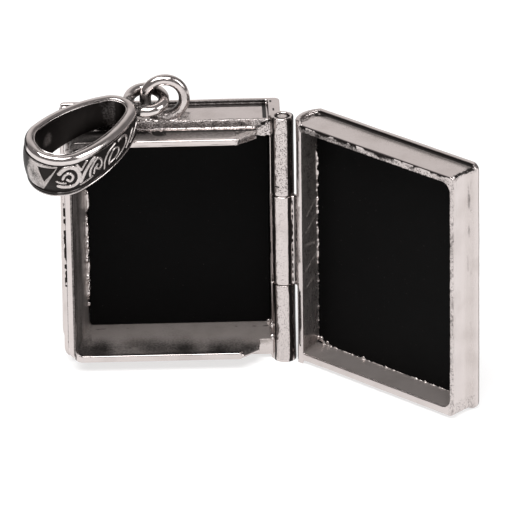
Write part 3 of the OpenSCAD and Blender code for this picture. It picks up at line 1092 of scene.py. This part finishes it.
def relief(run, share, half, height):
    """Height of the ornament from 0 in its ground to 1 on its strokes."""
    far = run > half
    s = np.where(far, 2 * half - run, run)
    limit = np.where(far, PLAIN_FAR, PLAIN_NEAR + PLAIN_SLANT * share)
    plain = 1 - smooth(s - limit, -0.1, 0.0)
    points = np.stack([np.where(far, -s, s), share * height], axis=1)
    result = plain * (1 - in_triangle(points, [np.array((x, y * height)) for x, y in TRIANGLE]))
    points = np.stack([s - np.where(far, FAR_SHIFT, 0), share * height], axis=1)
    for width, *corners in STROKES:
        line = np.array(curve(corners)) * (1, height)
        for a, b in zip(line[:-1], line[1:]):
            along = b - a
            t = np.clip(((points - a) @ along) / max(along @ along, 1e-9), 0, 1)
            away = np.linalg.norm(points - a - t[:, None] * along, axis=1)
            result = np.maximum(result, 1 - smooth(away, width * 0.8, width * 0.8 + 0.08))
    return result


FIELD_TOP = 0.64  # shares of the half height between which the ornament lies
FIELD_LOW = -0.70
GROUND = 0.20  # how deep its ground lies below the band's swell
STROKE_DROP = 0.02  # how far its strokes stay below the swell
# Rows of the band's section: share of the half height, step out and blackening
UPPER_RIM = (
    (0.90, -0.55, 0.5), (0.945, -0.545, 0.1), (0.965, -0.525, 0.0), (0.972, -0.49, 0.0),
    (0.968, -0.455, 0.2), (0.955, -0.42, 0.62), (0.948, -0.36, 0.62), (0.952, -0.28, 0.55),
    (0.968, -0.20, 0.40), (0.985, -0.12, 0.1), (0.997, 0.0, 0.0), (1.0, 0.14, 0.0),
    (0.993, 0.28, 0.0), (0.975, 0.42, 0.0), (0.945, 0.55, 0.0), (0.905, 0.665, 0.0),
    (0.86, 0.745, 0.1), (0.81, 0.79, 0.3), (0.765, 0.81, 0.35), (0.725, 0.80, 0.35),
    (0.695, 0.77, 0.6), (0.675, 0.72, 0.9), (0.66, 0.66, 0.95),
)
LOWER_RIM = (
    (-0.72, 0.70, 0.9), (-0.745, 0.755, 0.66), (-0.765, 0.775, 0.62), (-0.79, 0.76, 0.7),
    (-0.81, 0.70, 0.8), (-0.84, 0.64, 0.85), (-0.87, 0.60, 0.9), (-0.895, 0.585, 0.85),
    (-0.91, 0.60, 0.5), (-0.925, 0.64, 0.0), (-0.94, 0.67, 0.0), (-0.96, 0.68, 0.0),
    (-0.98, 0.65, 0.0), (-0.995, 0.58, 0.1), (-1.0, 0.45, 0.4), (-1.0, 0.1, 0.5),
    (-1.0, -0.3, 0.3), (-0.99, -0.48, 0.3), (-0.965, -0.54, 0.4), (-0.93, -0.55, 0.5),
)


def band_section(fine):
    """The band's section as rows of (share of the half height, step out, blackening, on the field or not).
    It runs up the inner face, over the upper rim, down the field and round the lower rim."""
    inner = [(s, -BAIL_WALL / 2, 0.5, 0) for s in np.linspace(-0.86, 0.86, 14)]
    field = [(s, 0.0, 0.0, 1) for s in np.linspace(FIELD_TOP, FIELD_LOW, fine)]
    return inner + [(*row, 0) for row in UPPER_RIM] + field + [(*row, 0) for row in LOWER_RIM]


def band_mesh(path, outs, heights, share, out):
    """The closed band: its section's rows at every point of the path, joined from one to the next."""
    columns = len(path)
    rows = len(share) // columns
    flat = np.repeat(path, rows, axis=0) + np.repeat(outs, rows, axis=0) * out[:, None]
    points = np.column_stack([flat[:, 0] + BAND_OFFSET, flat[:, 1], share * np.repeat(heights, rows)])
    index = np.arange(columns * rows).reshape(columns, rows)
    ahead = np.roll(index, -1, axis=0)
    corners = [index, ahead, np.roll(ahead, -1, axis=1), np.roll(index, -1, axis=1)]
    mesh = bpy.data.meshes.new("bail_band")
    mesh.from_pydata(points.tolist(), [], np.stack(corners, axis=2).reshape(-1, 4).tolist())
    mesh.update()
    return mesh


def band_dark(co, run, half, section, art):
    """Blackening of the band, with rubbed patches inside, a tarnished big end and painted shade on its far
    side.
    """
    share, step_out, blackened, on_field = section
    from_end = np.minimum(run, 2 * half - run)
    far_side = run > half
    by_end = 1 - smooth(from_end, 2.2, 3.6)
    inside = step_out < 0.001 - BAIL_WALL / 2
    patches = smooth(noise(co * (1.0, 1.0, 0.35), 1.3, 8), 0.0, 0.6)
    rubbed = 0.22 + 0.16 * (1 - smooth(from_end, 6.0, 10.0))
    worn = 0.16 * noise(co, 0.8, 7) * (blackened > 0.2)
    low_edge = (share < -0.70) * (step_out > 0) * np.where(share > -0.92, 0.9, 0.5)
    # Painted shade: the far side's outer face is darker
    side = far_side * smooth(from_end, 0.6, 2.0) * (step_out > 0.3) * (share < 0.95)
    # Tarnish by the big end, and painted shade on the far side's strokes
    tarnish_and_far_shade = by_end * (0.50 + 0.14 * noise(co, 1.1, 9)) + 0.3 * far_side * smooth(from_end, 0.3, 1.5)
    return strongest(
        np.where(inside, 0.88 - rubbed * patches, blackened + worn),
        low_edge * by_end,
        0.72 * side,
        0.95 * smooth(on_field * (1 - art), 0.25, 0.8),
        on_field * art * tarnish_and_far_shade,
    )


def face_outwards(mesh):
    bm = bmesh.new()
    bm.from_mesh(mesh)
    bmesh.ops.recalc_face_normals(bm, faces=bm.faces)
    bm.to_mesh(mesh)
    bm.free()


def make_band(material):
    """The wide band, with a broad upper rim, a thin lower one and a scroll ornament between them."""
    columns = 700
    path, outs, runs, half = band_path(columns)
    heights = half_height(path[:, 0])
    section = np.tile(np.array(band_section(84)), (columns, 1)).T
    share, step_out, _, on_field = section
    run = np.repeat(runs, len(share) // columns)
    art = relief(run, share, half, heights.mean()) * on_field
    art *= smooth(share, FIELD_LOW + 0.02, FIELD_LOW + 0.06)
    art *= 1 - smooth(share, FIELD_TOP - 0.04, FIELD_TOP)
    swell = BAIL_WALL / 2 + BAIL_SWELL * (1 - share ** 2)
    out = np.where(on_field > 0, swell - GROUND + (GROUND - STROKE_DROP) * art, step_out)
    mesh = band_mesh(path, outs, heights, share, out)
    obj = new_object("bail_band", mesh)
    co = coordinates(mesh)
    waves = 0.020 * noise(co, 3.0, 5) + 0.010 * noise(co, 1.0, 6)
    set_coordinates(mesh, co + normals(mesh) * waves[:, None])
    set_masks(mesh, band_dark(co, run, half, section, art), 0.25 * on_field, 0.30 * on_field)
    face_outwards(mesh)
    finish_piece(obj, bail_frame(), "bail", material, "bail")


def turned(name, profile, around, closed=False):
    """A surface turned round the z axis from an open or closed line of (radius, height) points."""
    bm = bmesh.new()
    rings = []
    for r, z in profile:
        turns = [2 * math.pi * i / around for i in range(around if r > 0 else 1)]
        rings.append([bm.verts.new((r * math.cos(a), r * math.sin(a), z)) for a in turns])
    for lower, upper in zip(rings, rings[1:] + rings[:1] if closed else rings[1:]):
        for i in range(around):
            k = (i + 1) % around
            quad = [ring[j % len(ring)] for ring, j in ((lower, i), (lower, k), (upper, k), (upper, i))]
            bm.faces.new(list(dict.fromkeys(quad)))
    bmesh.ops.recalc_face_normals(bm, faces=bm.faces)
    return object_from(bm, name)


def make_loop(material):
    """The bail's own ring, with the lump of solder that joins it to the band."""
    rng = np.random.default_rng(SEED + 3)
    tube = [2 * math.pi * j / 20 for j in range(20)]
    wire = [(LOOP_RADIUS + LOOP_WIRE * math.cos(b), LOOP_WIRE * math.sin(b)) for b in tube]
    obj = turned("bail_ring", wire, 64, closed=True)
    lumps = [((2.95, 0, 0), (1.02, 1.05, 1.0))]
    lumps += [((1.5, 0.4, 0.1), (0.4, 0.5, 0.45)), ((1.2, 0.95, 0.0), (0.4, 0.4, 0.4))]
    lumps += bead_line(rng, (2.6, 1.0, 0.6), (3.0, -1.0, 0.7), 16, 0.26, (0.3, 0.3, 0.3))
    add_lumps(obj, lumps)
    melt(obj, 0.1, 3)
    co = coordinates(obj.data)
    rough = zone(co, (0.8, -1.7, -1.4), (4.2, 1.7, 1.4), 0.3)
    set_coordinates(obj.data, wobble(co, normals(obj.data), 0.8 * rough))
    # Painted shade inside the ring's hole and on its underside; the solder lump is blackened
    hole = 1 - smooth(np.hypot(co[:, 0], co[:, 1]), 1.75, 2.1)
    under = 1 - smooth(co[:, 2], -0.45, -0.1)
    set_masks(obj.data, strongest(0.62 * rough, 0.62 * hole, 0.5 * under), 0.9 * rough, 0 * rough)
    finish_piece(obj, bail_frame(), "bail", material, "bail")


def make_pin(material):
    """The hinge pin, with worn round ends a little below the knuckles' ends."""
    radius, low, bevel = 0.9, 0.1, 0.2
    profile = [(0.0, low), (radius * 0.5, low + 0.01), (radius - bevel, low + 0.05)]
    profile += [(radius - bevel * 0.3, low + 0.1), (radius, low + bevel)]
    profile += [(r, COVER_HEIGHT - z) for r, z in reversed(profile)]
    obj = turned("hinge_pin_turned", profile, 40)
    co = coordinates(obj.data)
    # Painted shade on the rim of the pin's ends, standing in for the dark gap round the pin
    edge = smooth(np.hypot(co[:, 0], co[:, 1]), 0.56, 0.70)
    set_masks(obj.data, 0.9 * edge, 0.3 + 0 * edge, 0 * edge)
    finish_piece(obj, CASE_FRAME, "hinge_pin", material, "case")


def main():
    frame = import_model()
    nodes = frame["nodes"]
    make_camera()
    make_floor()
    make_light()
    rng = np.random.default_rng(SEED)
    shell = silver("silver_shell")
    lumps = solder_lumps(rng, CASE_BEADS, CASE_LUMPS)
    make_shell(nodes["case"], CASE_FRAME, "case_shell", lumps, case_masks, shell, "case")
    lumps = lid_solder(rng)
    make_shell(nodes["lid"], LID_FRAME, "lid_shell", lumps, lid_masks, shell, "lid")
    make_pin(silver("silver_pin"))
    bail_silver = silver("silver_bail", BAIL_TONE)
    make_band(bail_silver)
    make_loop(bail_silver)
    board = black_board("board_black")
    for name in ("case_lining", "lid_lining"):
        nodes[name].data.materials.clear()
        nodes[name].data.materials.append(board)


main()
